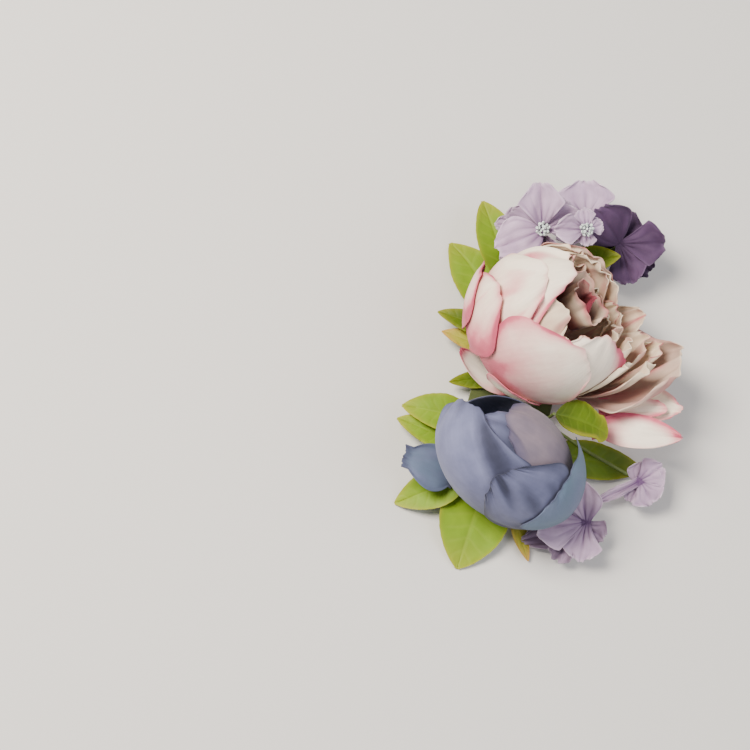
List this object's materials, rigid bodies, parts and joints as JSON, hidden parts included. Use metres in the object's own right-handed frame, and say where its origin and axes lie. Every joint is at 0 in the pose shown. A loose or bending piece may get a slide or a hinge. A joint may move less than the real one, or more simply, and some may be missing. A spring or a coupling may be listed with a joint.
{
  "type": "flower corsage",
  "caption": "Large fabric flower corsage brooch: a full peony, a rose bud, hydrangea florets and leaves wired onto a felt pad with a bar pin.",
  "frame": {"origin": "middle of the corsage's outline on the surface it lies on, at the back of the bar pin", "axes": "+Z away from the garment, +Y towards the top of the corsage as worn, +X towards the viewer's right as worn"},
  "size_m": [0.1541, 0.2023, 0.084],
  "materials": {
    "peony_cloth": "matte",
    "rose_cloth": "matte",
    "leaf_cloth": "matte",
    "floret_cloth": "matte",
    "beads": "satin",
    "stems": "matte",
    "felt": "matte",
    "pin_steel": "brushed"
  },
  "bodies": {
    "root": {"peony_petal_1": "peony_cloth", "peony_petal_2": "peony_cloth", "peony_petal_3": "peony_cloth", "peony_petal_4": "peony_cloth", "peony_petal_5": "peony_cloth", "peony_petal_6": "peony_cloth", "peony_petal_7": "peony_cloth", "peony_petal_8": "peony_cloth", "peony_petal_9": "peony_cloth", "peony_inner_1": "peony_cloth", "peony_inner_2": "peony_cloth", "peony_inner_3": "peony_cloth", "peony_inner_4": "peony_cloth", "peony_inner_5": "peony_cloth", "peony_inner_6": "peony_cloth", "peony_inner_7": "peony_cloth", "peony_inner_8": "peony_cloth", "peony_inner_9": "peony_cloth", "peony_inner_10": "peony_cloth", "peony_inner_11": "peony_cloth", "peony_outer_1": "peony_cloth", "peony_outer_2": "peony_cloth", "peony_outer_3": "peony_cloth", "peony_outer_4": "peony_cloth", "peony_heart": "peony_cloth", "peony_core": "stems", "rose_petal_1": "rose_cloth", "rose_petal_2": "rose_cloth", "rose_petal_3": "rose_cloth", "rose_petal_4": "rose_cloth", "rose_petal_5": "rose_cloth", "rose_petal_6": "rose_cloth", "rose_petal_7": "rose_cloth", "rose_petal_8": "rose_cloth", "rose_outer_1": "rose_cloth", "rose_core": "stems", "leaf_1": "leaf_cloth", "leaf_2": "leaf_cloth", "leaf_3": "leaf_cloth", "leaf_4": "leaf_cloth", "leaf_5": "leaf_cloth", "leaf_6": "leaf_cloth", "leaf_7": "leaf_cloth", "leaf_8": "leaf_cloth", "leaf_9": "leaf_cloth", "leaf_10": "leaf_cloth", "leaf_11": "leaf_cloth", "leaf_12": "leaf_cloth", "leaf_13": "leaf_cloth", "floret_1": "floret_cloth", "floret_2": "floret_cloth", "floret_3": "floret_cloth", "floret_4": "floret_cloth", "floret_5": "floret_cloth", "floret_6": "floret_cloth", "floret_7": "floret_cloth", "floret_beads": "beads", "stems": "stems", "felt_pad": "felt", "bar_pin": "pin_steel"}
  },
  "joints": []
}
